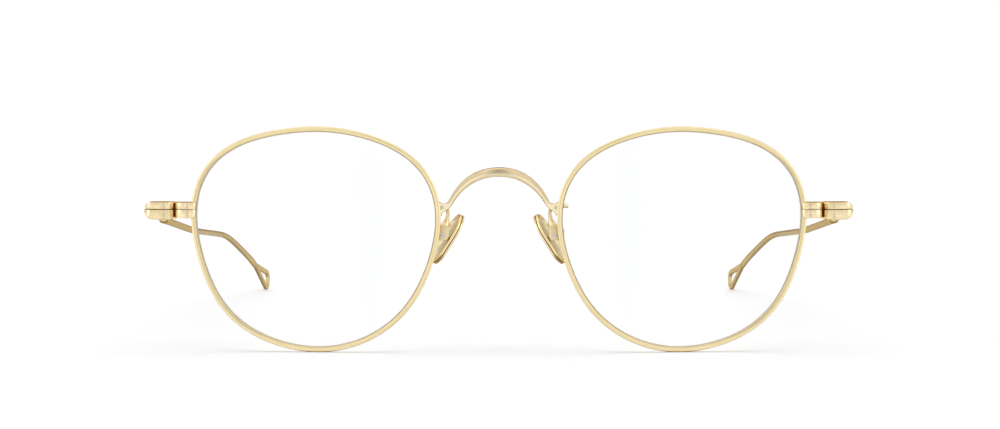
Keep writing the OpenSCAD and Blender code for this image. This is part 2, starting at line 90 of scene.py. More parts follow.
def outline_radius(angle):
    """Radius of the lens outline at an angle in degrees from the nose over the top."""
    count = len(outline_radii)
    total = 0
    for k, radius in enumerate(outline_radii):
        half = np.radians(angle - k * 360 / count) / 2
        flat = np.abs(np.sin(half)) < 0.001
        safe = np.where(flat, 1, half)
        wave = np.sin(count * safe) / (count * np.tan(safe))
        total = total + radius * np.where(flat, 1, wave)
    return total


def on_front(x, z, radius=front_curve):
    """Point of the lens front, a sphere about a centre behind it."""
    return np.stack([x, front_curve - np.sqrt(radius ** 2 - x ** 2 - z ** 2), z], -1)


def rim_edge(angle):
    """Point of the rim's outer edge, before the rim is turned and put in place."""
    reach = outline_radius(angle)
    return on_front(-outline_stretch * reach * np.cos(np.radians(angle)),
                    reach * np.sin(np.radians(angle)))


def unit(vector):
    return vector / np.linalg.norm(vector, axis=-1, keepdims=True)


def turned(vector, axis, angle):
    """Points or directions turned about X, Y or Z, given as 0, 1 or 2."""
    first, second = [k for k in range(3) if k != axis]
    cosine = math.cos(angle)
    sine = math.sin(angle) * (-1 if axis == 1 else 1)
    made = np.array(vector, float)
    made[..., first] = vector[..., first] * cosine - vector[..., second] * sine
    made[..., second] = vector[..., first] * sine + vector[..., second] * cosine
    return made


def face_turned(vector):
    return turned(vector, 2, face_turn)


def edge_frame(angle):
    """Points of the rim's outer edge with their outward and backward directions."""
    edge = rim_edge(angle)
    back = (np.array([0, front_curve, 0]) - edge) / front_curve
    out = np.cross(unit(rim_edge(angle + 1) - rim_edge(angle - 1)), back)
    return edge, out, back


def softened(outline, corner):
    """Closed outline with its corners rounded, each by its own reach."""
    outline = np.array(outline, float)
    reach = np.broadcast_to(corner, len(outline))
    points = []
    for k, here in enumerate(outline):
        if reach[k] == 0:
            points.append(here)
            continue
        before = outline[k - 1] - here
        after = outline[(k + 1) % len(outline)] - here
        start = here + unit(before) * min(reach[k], 0.49 * np.linalg.norm(before))
        end = here + unit(after) * min(reach[k], 0.49 * np.linalg.norm(after))
        for t in np.linspace(0, 1, 6):
            points.append((1 - t) ** 2 * start + 2 * t * (1 - t) * here + t ** 2 * end)
    return np.array(points)


def add_node(tree, kind, inputs=None, **settings):
    """New node with its settings; an input may be a value or another node's socket."""
    made = tree.nodes.new(kind)
    for name, value in settings.items():
        setattr(made, name, value)
    for key, value in (inputs or {}).items():
        if isinstance(value, bpy.types.NodeSocket):
            tree.links.new(value, made.inputs[key])
        else:
            made.inputs[key].default_value = value
    return made


def maths(tree, operation, *values, kind="ShaderNodeMath", **settings):
    """Result of a sum on values or sockets, for shaders and geometry alike."""
    inputs = dict(enumerate(values))
    return add_node(tree, kind, inputs, operation=operation, **settings).outputs[0]


def wire_along_path():
    """Geometry tree that draws a section along a path carrying its own directions and sizes."""
    tree = bpy.data.node_groups.new("wire_along_path", "GeometryNodeTree")
    sockets = [("Path", "Geometry", None), ("Section", "Object", None), ("Width", "Float", 1.0),
               ("Depth", "Float", 1.0), ("Metal", "Material", None)]
    for name, kind, value in sockets:
        made = tree.interface.new_socket(name, in_out="INPUT", socket_type="NodeSocket" + kind)
        if value is not None:
            made.default_value = value
    tree.interface.new_socket("Wire", in_out="OUTPUT", socket_type="NodeSocketGeometry")
    given = tree.nodes.new("NodeGroupInput").outputs

    def stored(name, kind="FLOAT_VECTOR"):
        return add_node(tree, "GeometryNodeInputNamedAttribute", {"Name": name},
                        data_type=kind).outputs["Attribute"]

    section = add_node(tree, "GeometryNodeObjectInfo", {"Object": given["Section"]})
    profile = add_node(tree, "GeometryNodeMeshToCurve", {"Mesh": section.outputs["Geometry"]})
    path = add_node(tree, "GeometryNodeMeshToCurve", {"Mesh": given["Path"]})
    wire = add_node(tree, "GeometryNodeCurveToMesh",
                    {"Curve": path.outputs[0], "Profile Curve": profile.outputs[0],
                     "Fill Caps": True})
    parts = add_node(tree, "ShaderNodeSeparateXYZ", {0: stored("section_place")}).outputs
    place = stored("path_place")
    reaches = []
    for axis, size, direction, scale in ((0, "wide", "across", "Width"),
                                         (1, "deep", "behind", "Depth")):
        # A power under 1 draws a round section out towards a rectangle.
        share = maths(tree, "POWER", maths(tree, "ABSOLUTE", parts[axis]),
                      stored("squareness", "FLOAT"))
        share = maths(tree, "MULTIPLY", maths(tree, "SIGN", parts[axis]), share)
        reach = maths(tree, "MULTIPLY", share, stored(size, "FLOAT"))
        reach = maths(tree, "MULTIPLY", reach, given[scale])
        reaches.append(reach)
        offset = add_node(tree, "ShaderNodeVectorMath", {0: stored(direction), "Scale": reach},
                          operation="SCALE").outputs[0]
        place = maths(tree, "ADD", place, offset, kind="ShaderNodeVectorMath")
    moved = add_node(tree, "GeometryNodeSetPosition",
                     {"Geometry": wire.outputs[0], "Position": place})
    grain = add_node(tree, "ShaderNodeCombineXYZ",
                     {0: stored("run", "FLOAT"), 1: reaches[0], 2: reaches[1]})
    marked = add_node(tree, "GeometryNodeStoreNamedAttribute",
                      {"Geometry": moved.outputs[0], "Name": "grain", "Value": grain.outputs[0]},
                      data_type="FLOAT_VECTOR", domain="POINT")
    smooth = add_node(tree, "GeometryNodeSetShadeSmooth", {"Geometry": marked.outputs[0]})
    whole = add_node(tree, "GeometryNodeRealizeInstances", {"Geometry": smooth.outputs[0]})
    faced = add_node(tree, "GeometryNodeSetMaterial",
                     {"Geometry": whole.outputs[0], "Material": given["Metal"]})
    add_node(tree, "NodeGroupOutput", {"Wire": faced.outputs[0]})
    return tree


wire_tree = wire_along_path()


def line_object(name, points, closed, **marks):
    """Mesh of edges through the points, carrying named values on them."""
    count = len(points)
    edges = [(k, (k + 1) % count) for k in range(count if closed else count - 1)]
    mesh = bpy.data.meshes.new(name)
    mesh.from_pydata([tuple(point) for point in points], edges, [])
    for mark, values in marks.items():
        values = np.asarray(values, np.float32)
        vector = values.ndim == 2
        layer = mesh.attributes.new(mark, "FLOAT_VECTOR" if vector else "FLOAT", "POINT")
        layer.data.foreach_set("vector" if vector else "value", values.ravel())
    made = bpy.data.objects.new(name, mesh)
    bpy.context.scene.collection.objects.link(made)
    return made


def tidy_faces(mesh, sharp_angle):
    """Points the faces outwards and keeps only edges over the angle crisp."""
    shell = bmesh.new()
    shell.from_mesh(mesh)
    bmesh.ops.remove_doubles(shell, verts=shell.verts, dist=1e-7)
    bmesh.ops.recalc_face_normals(shell, faces=shell.faces)
    if shell.calc_volume(signed=True) < 0:
        bmesh.ops.reverse_faces(shell, faces=shell.faces)
    shell.to_mesh(mesh)
    shell.free()
    mesh.shade_smooth()
    mesh.set_sharp_from_angle(angle=math.radians(sharp_angle))


def drawn_wire(name, path, across, behind, section, metal, wide=1.0, deep=1.0, squareness=1.0,
               kept_marks=("grain",)):
    """Wire drawn along a path in millimetres, baked to a plain mesh in metres."""
    count = len(path)
    steps = np.linalg.norm(np.diff(path, axis=0), axis=1)
    marks = {"path_place": path * MM,
             "across": across,
             "behind": behind,
             "wide": np.broadcast_to(wide, count) * MM,
             "deep": np.broadcast_to(deep, count) * MM,
             "squareness": np.broadcast_to(squareness, count),
             "run": np.concatenate([[0], np.cumsum(steps)]) * MM}
    line = line_object(name, path * MM, False, **marks)
    flat = np.column_stack([section, np.zeros(len(section))])
    outline = line_object(name + "_section", flat * MM, True, section_place=flat)
    draw = line.modifiers.new("draw", "NODES")
    draw.node_group = wire_tree
    inputs = {socket.name: socket.identifier for socket in wire_tree.interface.items_tree
              if socket.in_out == "INPUT"}
    draw[inputs["Section"]] = outline
    draw[inputs["Width"]] = 1.0
    draw[inputs["Depth"]] = 1.0
    draw[inputs["Metal"]] = metal
    ready = line.evaluated_get(bpy.context.evaluated_depsgraph_get())
    mesh = bpy.data.meshes.new_from_object(ready)
    line.modifiers.remove(draw)
    line.data = mesh
    bpy.data.objects.remove(outline)
    for mark in (*marks, "section_place"):
        if mark in mesh.attributes and mark not in kept_marks:
            mesh.attributes.remove(mesh.attributes[mark])
    tidy_faces(mesh, 50)
    return line


def mapped(tree, value, start, end):
    """Share from 0 at the start value to 1 at the end value."""
    inputs = {"Value": value, "From Min": start, "From Max": end}
    return add_node(tree, "ShaderNodeMapRange", inputs).outputs[0]


def mixed(tree, share, first, second):
    """Blend of two colours, each a socket or a red, green and blue."""
    inputs = {0: share}
    for key, color in ((6, first), (7, second)):
        inputs[key] = color if isinstance(color, bpy.types.NodeSocket) else (*color, 1)
    return add_node(tree, "ShaderNodeMix", inputs, data_type="RGBA").outputs[2]


def brushed_grain():
    """Shader group for brushed plating: fine lines, soft clouds, tiny specks and painted shade in
    creases.
    """
    tree = bpy.data.node_groups.new("brushed_grain", "ShaderNodeTree")
    for name, kind in (("Place", "Vector"), ("Line Length", "Float"), ("Line Width", "Float"),
                       ("Bright", "Color"), ("Deep", "Color"), ("Crease Shade", "Color"),
                       ("Roughness", "Float"), ("Spread", "Float")):
        tree.interface.new_socket(name, in_out="INPUT", socket_type="NodeSocket" + kind)
    for name, kind in (("Color", "Color"), ("Roughness", "Float"), ("Height", "Float")):
        tree.interface.new_socket(name, in_out="OUTPUT", socket_type="NodeSocket" + kind)
    given = tree.nodes.new("NodeGroupInput").outputs

    across = maths(tree, "DIVIDE", 1.0, given["Line Width"])
    along = maths(tree, "DIVIDE", 1.0, given["Line Length"])
    stretch = add_node(tree, "ShaderNodeCombineXYZ", {0: along, 1: across, 2: across}).outputs[0]
    lined = maths(tree, "MULTIPLY", given["Place"], stretch, kind="ShaderNodeVectorMath")
    lines = add_node(tree, "ShaderNodeTexNoise",
                     {"Vector": lined, "Scale": 1.0, "Detail": 3.0, "Roughness": 0.6})
    clouds = add_node(tree, "ShaderNodeTexNoise",
                      {"Vector": given["Place"], "Scale": 420.0, "Detail": 2.0})
    specks = add_node(tree, "ShaderNodeTexNoise",
                      {"Vector": given["Place"], "Scale": 5200.0, "Detail": 1.0})
    tone = maths(tree, "ADD", maths(tree, "MULTIPLY", lines.outputs[0], 0.75),
                 maths(tree, "MULTIPLY", clouds.outputs[0], 0.25))
    tone = mapped(tree, tone, 0.34, 0.66)
    color = mixed(tree, tone, given["Deep"], given["Bright"])
    # Painted shade: where ambient occlusion finds creases or parts touching, the colour is
    # blended towards a dark brown.
    opened = add_node(tree, "ShaderNodeAmbientOcclusion", {"Distance": 0.0007}, samples=8)
    opened = mapped(tree, opened.outputs["AO"], 0.3, 0.75)
    color = mixed(tree, opened, given["Crease Shade"], color)
    rough = maths(tree, "MULTIPLY_ADD", maths(tree, "SUBTRACT", 0.5, tone), given["Spread"],
                  given["Roughness"])
    height = maths(tree, "MULTIPLY_ADD", specks.outputs[0], 0.25, lines.outputs[0])
    add_node(tree, "NodeGroupOutput", {"Color": color, "Roughness": rough, "Height": height})
    return tree


grain_group = brushed_grain()


def plated(name, bright, deep, roughness, spread=0.08, line_length=0.004, line_width=0.0002,
           relief=0.000004, place="grain", edge=(0.5, 0.31, 0.1), crease_shade=(0.36, 0.19, 0.06)):
    """Brushed metal; its lines run along the grain attribute, or along X of the object; its
    creases get painted shade.
    """
    metal = bpy.data.materials.new(name)
    metal.use_nodes = True
    tree = metal.node_tree
    shader = tree.nodes["Principled BSDF"]
    if place == "grain":
        spot = add_node(tree, "ShaderNodeAttribute", attribute_name="grain").outputs["Vector"]
    else:
        spot = tree.nodes.new("ShaderNodeTexCoord").outputs["Object"]
    grain = add_node(tree, "ShaderNodeGroup", node_tree=grain_group)
    tree.links.new(spot, grain.inputs["Place"])
    for key, value in (("Line Length", line_length), ("Line Width", line_width),
                       ("Bright", (*bright, 1)), ("Deep", (*deep, 1)), ("Crease Shade", (*crease_shade, 1)),
                       ("Roughness", roughness), ("Spread", spread)):
        grain.inputs[key].default_value = value
    bump = add_node(tree, "ShaderNodeBump",
                    {"Height": grain.outputs["Height"], "Strength": 0.5, "Distance": relief})
    shader.inputs["Metallic"].default_value = 1.0
    shader.inputs["Specular Tint"].default_value = (*edge, 1)
    tree.links.new(grain.outputs["Color"], shader.inputs["Base Color"])
    tree.links.new(grain.outputs["Roughness"], shader.inputs["Roughness"])
    tree.links.new(bump.outputs[0], shader.inputs["Normal"])
    return metal


def stands_for(piece, node):
    """The piece takes the place of a CAD node and moves with its body."""
    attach(piece, frame["nodes"][node]["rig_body"])
    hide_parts(node)


def mirrored(points, side):
    """Points or directions drawn for the wearer's left, put on either side."""
    return points * np.array([side, 1, 1])


rim_gold = plated("rim_gold", (0.95, 0.81, 0.48), (0.85, 0.70, 0.39), 0.17)
for side, sign in SIDES.items():
    angles = opening_middle + np.linspace(opening_half, 360 - opening_half, 481)
    edge, out, back = (mirrored(face_turned(part), sign) for part in edge_frame(angles))
    rim = drawn_wire("rim_wire_" + side, edge + mirrored(eye_centre, sign), out, back,
                     softened(rim_section, rim_corner), rim_gold)
    stands_for(rim, "rim_" + side)

# ---- Lenses ----
# Clear plastic, curved to the front of the face, with a bevelled edge that
# snaps into the rim's groove. A thin coating keeps their reflections faint.

# Across from the rim's outer edge, and back from the rim's front.
lens_inset = -0.99
lens_faces = (0.05, 1.55)
lens_edge = [(-0.99, 0.4), (-0.59, 0.8), (-0.99, 1.2)]
# The bevel's faces lie further out than this, and turn away from the front by more than
# this cosine.
bevel_reach = 15
bevel_facing = 0.85


def lofted(name, rings, sharp_angle, closed=False):
    """Skin over rings of points in millimetres, made a mesh in metres."""
    rings = np.asarray(rings, float)
    rows, columns = rings.shape[:2]
    faces = []
    for row in range(rows if closed else rows - 1):
        here = row * columns
        beyond = (row + 1) % rows * columns
        for column in range(columns):
            beside = (column + 1) % columns
            faces.append((here + column, here + beside, beyond + beside, beyond + column))
    if not closed:
        faces.append(tuple(range(columns)))
        faces.append(tuple(range((rows - 1) * columns, rows * columns)))
    mesh = bpy.data.meshes.new(name)
    mesh.from_pydata([tuple(point) for point in rings.reshape(-1, 3) * MM], [], faces)
    tidy_faces(mesh, sharp_angle)
    made = bpy.data.objects.new(name, mesh)
    bpy.context.scene.collection.objects.link(made)
    return made


def lens_rings():
    """Rings from the middle of the lens's front, over its bevelled edge, to that of its back."""
    edge, out, back = edge_frame(np.arange(0, 360, 2.0))
    shares = np.concatenate([[0.01], np.linspace(0.08, 1.0, 13)])
    rings = []
    for depth, order in ((lens_faces[0], shares), (lens_faces[1], shares[::-1])):
        face = []
        for share in order:
            spot = share * (edge + lens_inset * out + depth * back)
            face.append(on_front(spot[:, 0], spot[:, 2], front_curve - depth))
        rings += face
        if depth == lens_faces[0]:
            rings += [edge + inset * out + deep * back for inset, deep in lens_edge]
    return face_turned(np.array(rings)) + eye_centre


clear = bpy.data.materials.new("clear_lens")
clear.use_nodes = True
glass = clear.node_tree.nodes["Principled BSDF"]
for key, value in (("Base Color", (0.995, 1.0, 0.997, 1)), ("Roughness", 0.0), ("IOR", 1.5),
                   ("Metallic", 0.0), ("Transmission Weight", 1.0), ("Specular IOR Level", 0.15)):
    glass.inputs[key].default_value = value
# The bevel is ground matt, and its gold colour is a painted reflection of the groove around it.
ground = bpy.data.materials.new("ground_edge")
ground.use_nodes = True
tree = ground.node_tree
spot = tree.nodes.new("ShaderNodeTexCoord").outputs["Object"]
dust = add_node(tree, "ShaderNodeTexNoise", {"Vector": spot, "Scale": 3000.0, "Detail": 3.0})
matt = tree.nodes["Principled BSDF"]
tree.links.new(mixed(tree, dust.outputs[0], (0.78, 0.68, 0.49), (0.88, 0.79, 0.59)),
               matt.inputs["Base Color"])
matt.inputs["Roughness"].default_value = 0.7
for side, sign in SIDES.items():
    lens = lofted("lens_blank_" + side, mirrored(lens_rings(), sign), 25)
    lens.data.materials.append(clear)
    lens.data.materials.append(ground)
    ahead = mirrored(face_turned(np.array([0, -1, 0])), sign)
    for face in lens.data.polygons:
        middle = mirrored(np.array(face.center) / MM, sign) - eye_centre
        if np.hypot(middle[0], middle[2]) > bevel_reach and len(face.vertices) == 4:
            face.material_index = int(abs(np.dot(face.normal, ahead)) < bevel_facing)
    # Clear plastic throws no dark shadow.
    lens.visible_shadow = False
    lens.visible_diffuse = False
    stands_for(lens, "lens_" + side)

# ---- Bridge ----
# A solid arched bar, forged thicker at its crown, with a soft ridge along the
# lower part of its front. Its legs turn in flat feet soldered to the rims.

bridge_crown = np.array([0, 1.3445, 34.9896])
bridge_knee = np.array([9.22053, 1.6445, 29.2396])
bridge_foot = np.array([11.5205, 1.6445, 28.0896])
knee_turn = np.array([0.48, 0, -0.88])
# How far the curve runs on above a knee, below it and next to a foot.
arch_pull = 3.6
leg_pull = 0.95
foot_pull = np.array([1, 0, 0.1])
# Up from the bar's middle and back from it, as shares of its height and depth.
bar_section = [(0.5, 0.1), (0.46, -0.25), (0.34, -0.455), (-0.16, -0.5), (-0.24, -0.49),
               (-0.46, -0.39), (-0.5, 0.0), (-0.44, 0.3), (-0.2, 0.5), (0.25, 0.5), (0.45, 0.35)]
ridge_height = -0.16
bar_depth = 1.4
# Height of the bar at places from its crown, 0, over a knee, 1, to a foot, 2.
bar_places = [0, 0.4, 0.8, 1, 1.2, 1.5, 1.67, 1.75, 1.83, 1.92, 2, 2.1]
bar_heights = [1.85, 1.72, 1.2, 0.98, 1.02, 1.28, 1.42, 1.62, 1.95, 2.5, 3.2, 3.6]
# Sideways and upward run of the rim where a foot is soldered to it.
rim_run = (0.286, 0.958)


def bezier(start, first, second, end, t):
    t = np.asarray(t)[..., None]
    return ((1 - t) ** 3 * start + 3 * t * (1 - t) ** 2 * first
            + 3 * t * t * (1 - t) * second + t ** 3 * end)


def bridge_line(place):
    """Middle line of the bar; place is 0 at the crown, 1 at a knee and 2 at a foot."""
    size = np.abs(place)
    arch = bezier(bridge_crown, bridge_crown + [bridge_knee[0] / 2, 0, 0],
                  bridge_knee - arch_pull * knee_turn, bridge_knee, np.minimum(size, 1))
    leg = bezier(bridge_knee, bridge_knee + leg_pull * knee_turn, bridge_foot - foot_pull,
                 bridge_foot, np.maximum(size - 1, 0))
    line = np.where((size < 1)[:, None], arch, leg)
    line[:, 0] *= np.where(place < 0, -1, 1)
    line[:, 1] += front_face
    return line


spots = np.linspace(-2.1, 2.1, 253)
bar_height = np.interp(np.abs(spots), bar_places, bar_heights)
line = bridge_line(spots)
along = unit(bridge_line(spots + 0.02) - bridge_line(spots - 0.02))
foot_share = np.interp(np.abs(spots), [1.55, 2], [0, 1])[:, None]
none = 0 * spots
rim_tangent = np.stack([rim_run[0] * np.sign(spots), none, rim_run[1] + none], -1)
# The legs' fronts turn a little outwards.
lean = np.interp(np.abs(spots), [0, 0.2, 0.5, 1.0, 1.4], [0, 5, 11, 11, 8])
lean = np.radians(lean) * np.sign(spots)
behind = np.stack([-np.sin(lean), np.cos(lean), none], -1)
up = unit((1 - foot_share) * unit(np.cross(along, behind)) + foot_share * rim_tangent)
# The bar's gold is darker than the rims': painted shade for its dimmer facets.
bridge_gold = plated("bridge_gold", (0.82, 0.68, 0.42), (0.69, 0.55, 0.32), 0.14)
# The ridge is painted paler along its length, a painted highlight.
tree = bridge_gold.node_tree
place = add_node(tree, "ShaderNodeAttribute", attribute_name="section_place").outputs["Vector"]
place = add_node(tree, "ShaderNodeSeparateXYZ", {0: place}).outputs
ridge = maths(tree, "ABSOLUTE", maths(tree, "SUBTRACT", place[0], ridge_height))
ridge = maths(tree, "MULTIPLY", mapped(tree, ridge, 0.13, 0.05),
              mapped(tree, place[1], -0.35, -0.45))
shader = tree.nodes["Principled BSDF"]
plain = shader.inputs["Base Color"].links[0].from_socket
painted_highlights = mixed(tree, ridge, plain, (1.0, 0.9, 0.62))
# Its soldered feet are painted paler too, a painted highlight.
run = add_node(tree, "ShaderNodeAttribute", attribute_name="grain").outputs["Vector"]
run = add_node(tree, "ShaderNodeSeparateXYZ", {0: run}).outputs[0]
half_run = float(np.sum(np.linalg.norm(np.diff(line, axis=0), axis=1))) / 2 * MM
from_crown = maths(tree, "ABSOLUTE", maths(tree, "SUBTRACT", run, half_run))
foot = mapped(tree, from_crown, half_run - 3.6 * MM, half_run - 1.6 * MM)
painted_highlights = mixed(tree, foot, painted_highlights, (1.0, 0.88, 0.6))
tree.links.new(painted_highlights, shader.inputs["Base Color"])
bridge = drawn_wire("bridge_bar", line, up, behind, softened(bar_section, 0.05), bridge_gold,
                    wide=bar_height, deep=bar_depth, kept_marks=("grain", "section_place"))
stands_for(bridge, "bridge")

# ---- End pieces and hinges ----
# The closing block beside each rim is split in two halves drawn together by a
# small screw from below. The upper half runs on as the top of the hinge
# barrel, and the temple's barrel turns under it on a domed screw.


def softened_copy(node, name, metal, width, shortest=0.0):
    """Copy of a machined node with its sharp edges over a shortest length broken."""
    source = frame["nodes"][node]
    mesh = source.data.copy()
    mesh.name = name
    shell = bmesh.new()
    shell.from_mesh(mesh)
    bmesh.ops.remove_doubles(shell, verts=shell.verts, dist=2e-6)
    bmesh.ops.dissolve_limit(shell, angle_limit=math.radians(1.0), verts=shell.verts,
                             edges=shell.edges)
    crisp = [edge for edge in shell.edges
             if len(edge.link_faces) == 2 and edge.calc_face_angle(0) > math.radians(40)
             and edge.calc_length() > shortest * MM]
    bmesh.ops.bevel(shell, geom=crisp, offset=width * MM, offset_type="OFFSET",
                    segments=3, profile=0.5, affect="EDGES", clamp_overlap=True)
    bmesh.ops.triangulate(shell, faces=shell.faces)
    shell.to_mesh(mesh)
    shell.free()
    mesh.shade_smooth()
    mesh.set_sharp_from_angle(angle=math.radians(30))
    mesh.materials.clear()
    mesh.materials.append(metal)
    made = bpy.data.objects.new(name, mesh)
    bpy.context.scene.collection.objects.link(made)
    return made


block_gold = plated("block_gold", (1.0, 0.87, 0.57), (0.72, 0.55, 0.31), 0.22, 0.14,
                    line_length=0.006, line_width=0.00013, relief=0.000014, place="object",
                    edge=(0.82, 0.68, 0.42), crease_shade=(0.55, 0.3, 0.1))
screw_steel = plated("screw_steel", (0.82, 0.81, 0.78), (0.68, 0.67, 0.65), 0.3, place="object",
                     edge=(0.85, 0.85, 0.85), crease_shade=(0.2, 0.18, 0.15))
pin_gold = plated("pin_gold", (0.92, 0.79, 0.5), (0.74, 0.6, 0.35), 0.22, place="object")
washer_steel = plated("washer_steel", (0.30, 0.25, 0.18), (0.2, 0.16, 0.11), 0.45,
                      place="object")
# The washer's hole, and the length, half width and thickness of its tongue.
washer_hole = 0.62
tongue_reach = 4.1
tongue_half = 0.25
tongue_thick = 0.07
# Each machined piece with its slot, its metal and the width of its broken edges.
machined = [("upper_end_piece_", "end_piece_metal", block_gold, 0.08),
            ("lower_closing_block_", "end_piece_metal", block_gold, 0.08),
            ("temple_barrel_", "barrel_metal", block_gold, 0.08),
            ("closing_screw_", "screw_metal", screw_steel, 0.04),
            ("hinge_screw_", "hinge_screw_metal", pin_gold, 0.05)]
for side, sign in SIDES.items():
    for node, slot, metal, width in machined:
        piece = softened_copy(node + side, "soft_" + node + side, metal, width)
        stands_for(piece, node + side)
    # The washer's thin tongue is held between the halves of the block.
    low, high = (np.array(corner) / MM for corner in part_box("hinge_washer_" + side))
    outer = (high[0] - low[0]) / 2
    turn = np.linspace(0, 2 * math.pi, 96, endpoint=False)
    ring = np.stack([-sign * np.cos(turn), np.sin(turn), 0 * turn], -1)
    disc = outer * ring
    on_tongue = (np.cos(turn) > 0) & (np.abs(disc[:, 1]) < tongue_half)
    disc[on_tongue, 0] = -sign * (outer + tongue_reach)
    below = disc - [0, 0, high[2] - low[2]]
    below[on_tongue, 2] = -tongue_thick
    rings = np.array([below, disc, washer_hole * ring, washer_hole * ring])
    rings[3, :, 2] = low[2] - high[2]
    rings += [(low[0] + high[0]) / 2, (low[1] + high[1]) / 2, high[2]]
    washer = lofted("tab_washer_" + side, rings, 30, closed=True)
    washer.data.materials.append(washer_steel)
    stands_for(washer, "hinge_washer_" + side)

# ---- Temples and tip loops ----
# Each temple is one wire: pressed to a flat strap next to the hinge, round
# along the side of the head, and bent down behind the ear. Its tip is
# flattened edgewise and bent round into an open teardrop loop.

strap_start = np.array([65.0768, 7.53069 + front_face, 25.2808])
temple_tilt = math.radians(4.84231)
inward_turn = 1.8
# Lengths along the wire from its strap's start, in millimetres.
strap_end = 44
round_from = 50
bend_at = 98.5
wire_length = bend_at + 31
# The wire and its loop are a darker gold than the rims: painted shade for the dimmer surroundings
# they reflect.
wire_gold = plated("wire_gold", (0.74, 0.63, 0.36), (0.52, 0.43, 0.22), 0.24, 0.1,
                   line_length=0.003, edge=(0.66, 0.52, 0.28), crease_shade=(0.5, 0.37, 0.16))
loop_gold = plated("loop_gold", (0.80, 0.65, 0.37), (0.58, 0.46, 0.24), 0.26, 0.1,
                   edge=(0.66, 0.52, 0.28), crease_shade=(0.5, 0.37, 0.16))


def wire_turns(distance):
    """Sideways and downward turn of the wire at a distance from its strap's start."""
    yaw = np.interp(distance, [bend_at - 3, bend_at + 6, wire_length - 8, wire_length],
                    [0, 10, 10, 7.5])
    dip = np.interp(distance, [strap_end, round_from, bend_at, bend_at + 12, wire_length],
                    [1.5, 0, 0, 14, 16.5])
    return np.radians(inward_turn + yaw), np.radians(dip)


def heading(distance):
    yaw, dip = wire_turns(distance)
    return np.stack([-np.sin(yaw) * np.cos(dip), np.cos(yaw) * np.cos(dip), -np.sin(dip)], -1)


def tipped(vector):
    """The whole temple leans down a little towards its tip."""
    return turned(vector, 0, -temple_tilt)


def smoothed(line, times):
    """Line with its corners eased and its ends kept."""
    for _ in range(times):
        line[1:-1] = 0.25 * line[:-2] + 0.5 * line[1:-1] + 0.25 * line[2:]
    return line


# Corners of the wire's path, close together round the bend behind the ear.
coarse = np.concatenate([[0, 2, 36, strap_end, round_from, 78.5], 94.5 + np.arange(21) * 1.75])
middle = (coarse[1:] + coarse[:-1]) / 2
corners = np.concatenate([[[0, 0, 0]], np.cumsum(np.diff(coarse)[:, None] * heading(middle), 0)])
spots = np.unique(np.concatenate([np.linspace(0, 90, 61), np.linspace(90, wire_length, 80)]))
line = np.stack([np.interp(spots, coarse, corners[:, k]) for k in range(3)], -1)
line = smoothed(line, 6)
yaw, _ = wire_turns(spots)
across = np.stack([np.cos(yaw), np.sin(yaw), 0 * yaw], -1)
above = np.cross(across, heading(spots))
# Half width, half height and squareness of the wire along its length.
stages = [strap_end, round_from, bend_at + 6, wire_length]
wide = np.interp(spots, stages, [0.9, 1.25, 1.25, 0.8]) / 2
high = np.interp(spots, stages, [1.3, 1.25, 1.25, 1.7]) / 2
square = np.interp(spots, [strap_end, round_from, wire_length - 6, wire_length],
                   [0.45, 1, 1, 0.7])
round_section = np.array([(math.cos(angle), math.sin(angle))
                          for angle in np.linspace(0, 2 * math.pi, 32, endpoint=False)])

# The loop drawn flat: two straight sides leave the end of the temple and meet in a round bow.
loop_length = 12.5
loop_radius = 1.85
loop_start = 0.3
loop_lean = math.asin(loop_radius / loop_length)
turn = np.linspace(-math.pi / 2 - loop_lean, math.pi / 2 + loop_lean, 61)
bow = np.stack([loop_length + loop_radius * np.cos(turn), loop_radius * np.sin(turn)], -1)
straight = np.linspace(0, 1, 24)[:-1, None]
flat_loop = np.concatenate([straight * bow[0], bow, (bow[-1] * (1 - straight))[1:]])
flat_loop[0] = flat_loop[0] + loop_start * unit(bow[0])
flat_loop[-1] = flat_loop[-1] + loop_start * unit(bow[-1])
flat_loop = smoothed(flat_loop, 2)
end_ahead = heading(np.array(wire_length))
end_yaw = float(wire_turns(np.array(wire_length))[0])
end_across = np.array([math.cos(end_yaw), math.sin(end_yaw), 0])
end_above = np.cross(end_across, end_ahead)
loop_line = corners[-1] + flat_loop[:, :1] * end_ahead + flat_loop[:, 1:] * end_above
loop_ahead = unit(np.gradient(flat_loop, axis=0))
loop_out = loop_ahead[:, 1:] * end_ahead - loop_ahead[:, :1] * end_above
strip_section = softened([(-0.72, -0.5), (0.5, -0.5), (0.5, 0.5), (-0.72, 0.5)], 0.24)
for side, sign in SIDES.items():
    place = mirrored(tipped(line) + strap_start, sign)
    temple = drawn_wire("temple_wire_" + side, place, mirrored(tipped(across), sign),
                        mirrored(tipped(above), sign), round_section, wire_gold,
                        wide=wide, deep=high, squareness=square)
    stands_for(temple, "temple_" + side)
    place = mirrored(tipped(loop_line) + strap_start, sign)
    loop = drawn_wire("tip_strip_" + side, place, mirrored(tipped(loop_out), sign),
                      mirrored(tipped(np.broadcast_to(end_across, loop_line.shape)), sign),
                      strip_section, loop_gold, wide=0.85, deep=0.8)
    stands_for(loop, "tip_loop_" + side)

# ---- Pad arms and boxes ----
# A thin wire is soldered behind each rim, loops back and down, and ends in a
# small box. A screw through the box holds the lug of the pad.

arm_gold = plated("arm_gold", (0.9, 0.76, 0.47), (0.8, 0.66, 0.4), 0.28)
box_gold = plated("box_gold", (0.88, 0.74, 0.46), (0.78, 0.64, 0.39), 0.3, place="object")
arm_start = np.array([12.0758, 2.69241, 28.404])
arm_end = np.array([10.37043, 4.0, 24.3871])
start_pull = np.array([-2.6, 0.6, 0.2])
end_pull = np.array([-0.7, 1.6, 2.6])
